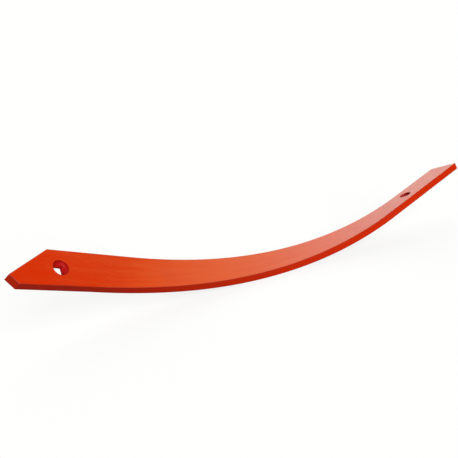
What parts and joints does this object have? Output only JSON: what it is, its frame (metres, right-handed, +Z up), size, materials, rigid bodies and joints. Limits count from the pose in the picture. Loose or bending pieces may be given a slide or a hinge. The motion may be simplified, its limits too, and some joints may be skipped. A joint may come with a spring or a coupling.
{
  "type": "mouldboard slat",
  "caption": "Long flat steel bar bent hollow about a slanted line, with a pointed end, a raked end and a countersunk square bolt hole near each, a strip of a slatted plough mouldboard.",
  "frame": {"origin": "on the ground below the middle of the slat, as it lies hollow side up on its belly", "axes": "+X along the bar where it touches the ground, from the pointed end towards the raked end; +Y across the bar towards its far edge; +Z up, out of the hollow front"},
  "size_m": [0.8598, 0.0872, 0.1197],
  "materials": {
    "paint": "glossy orange-red enamel over steel"
  },
  "bodies": {
    "root": {"slat": "paint"}
  },
  "joints": []
}
